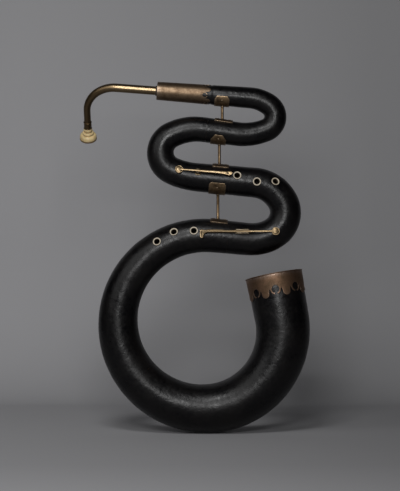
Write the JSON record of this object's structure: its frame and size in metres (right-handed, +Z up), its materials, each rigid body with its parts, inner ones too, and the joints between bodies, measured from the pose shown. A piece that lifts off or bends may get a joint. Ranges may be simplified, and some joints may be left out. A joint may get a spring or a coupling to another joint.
{
  "type": "serpent bass horn",
  "caption": "Serpentine leather-covered wooden bass horn with finger holes, sprung brass keys, a bent brass crook and a cup mouthpiece.",
  "frame": {"origin": "bottom centre of the bounding box: under the lowest point of the great bow, on the surface it would stand on", "axes": "+X to the right as the player of the pictured side sees it, from the crook to the bell; +Y away from the side with the holes and keys, the way the bell leans; +Z up, from the great bow to the neck"},
  "size_m": [0.5122, 0.1592, 0.7727],
  "materials": {
    "leather": "satin",
    "wood": "oiled",
    "ferrule_brass": "satin",
    "garland_brass": "tarnished",
    "stay_brass": "tarnished",
    "key_brass": "polished",
    "crook_brass": "polished",
    "ivory": "satin",
    "bone": "satin",
    "pad_leather": "matt",
    "thread": "waxed"
  },
  "bodies": {
    "body": {"leather_neck": "leather", "leather_second_bow": "leather", "leather_third_bow": "leather", "leather_great_bow": "leather", "leather_lower_bow": "leather", "leather_bell": "leather", "wood_neck_front": "wood", "wood_neck_back": "wood", "wood_second_bow_front": "wood", "wood_second_bow_back": "wood", "wood_third_bow_front": "wood", "wood_third_bow_back": "wood", "wood_great_bow_front": "wood", "wood_great_bow_back": "wood", "wood_lower_bow_front": "wood", "wood_lower_bow_back": "wood", "wood_bell_front": "wood", "wood_bell_back": "wood", "socket_ferrule": "ferrule_brass", "bell_garland": "garland_brass", "finger_bush_1": "bone", "finger_bush_2": "bone", "finger_bush_3": "bone", "finger_bush_4": "bone", "finger_bush_5": "bone", "finger_bush_6": "bone", "upper_key_tone_bush": "bone", "upper_key_saddle": "key_brass", "upper_key_hinge_pin": "key_brass", "upper_key_spring": "key_brass", "lower_key_tone_bush": "bone", "lower_key_saddle": "key_brass", "lower_key_hinge_pin": "key_brass", "lower_key_spring": "key_brass", "upper_stay_rod": "stay_brass", "upper_stay_upper_plate": "stay_brass", "upper_stay_lower_plate": "stay_brass", "middle_stay_rod": "stay_brass", "middle_stay_upper_plate": "stay_brass", "middle_stay_lower_plate": "stay_brass", "lower_stay_rod": "stay_brass", "lower_stay_upper_plate": "stay_brass", "lower_stay_lower_plate": "stay_brass"},
    "upper_key": {"upper_key_lever": "key_brass", "upper_key_pad": "pad_leather"},
    "lower_key": {"lower_key_lever": "key_brass", "lower_key_pad": "pad_leather"},
    "crook_lapping": {"crook_lapping": "thread"},
    "crook": {"crook": "crook_brass", "crook_ring": "crook_brass"},
    "mouthpiece": {"mouthpiece": "ivory"}
  },
  "joints": [
    {"name": "upper_key_hinge", "type": "hinge", "parent": "body", "child": "upper_key", "pos_m": [0.0097, -0.05816, 0.5752], "axis": [0.0868, 0.342, 0.9357], "range_deg": [0, 7], "stiffness_Nm_per_rad": 0.06, "springref_deg": -20.05, "deforming": ["upper_key_spring"]},
    {"name": "lower_key_hinge", "type": "hinge", "parent": "body", "child": "lower_key", "pos_m": [0.10684, -0.06195, 0.44313], "axis": [0.0061, -0.1385, -0.9903], "range_deg": [0, 5.5], "stiffness_Nm_per_rad": 0.08, "springref_deg": -22.92, "deforming": ["lower_key_spring"]},
    {"name": "crook_slide", "type": "slide", "parent": "body", "child": "crook_lapping", "axis": [-0.9972, 0, 0.075], "range_m": [0, 0.05]},
    {"name": "crook_turn", "type": "hinge", "parent": "crook_lapping", "child": "crook", "pos_m": [-0.08069, -0.02242, 0.75276], "axis": [-0.9972, 0, 0.075], "continuous": true},
    {"name": "mouthpiece_pull", "type": "slide", "parent": "crook", "child": "mouthpiece", "axis": [0.0019, 0.6145, -0.7889], "range_m": [0, 0.025]}
  ]
}
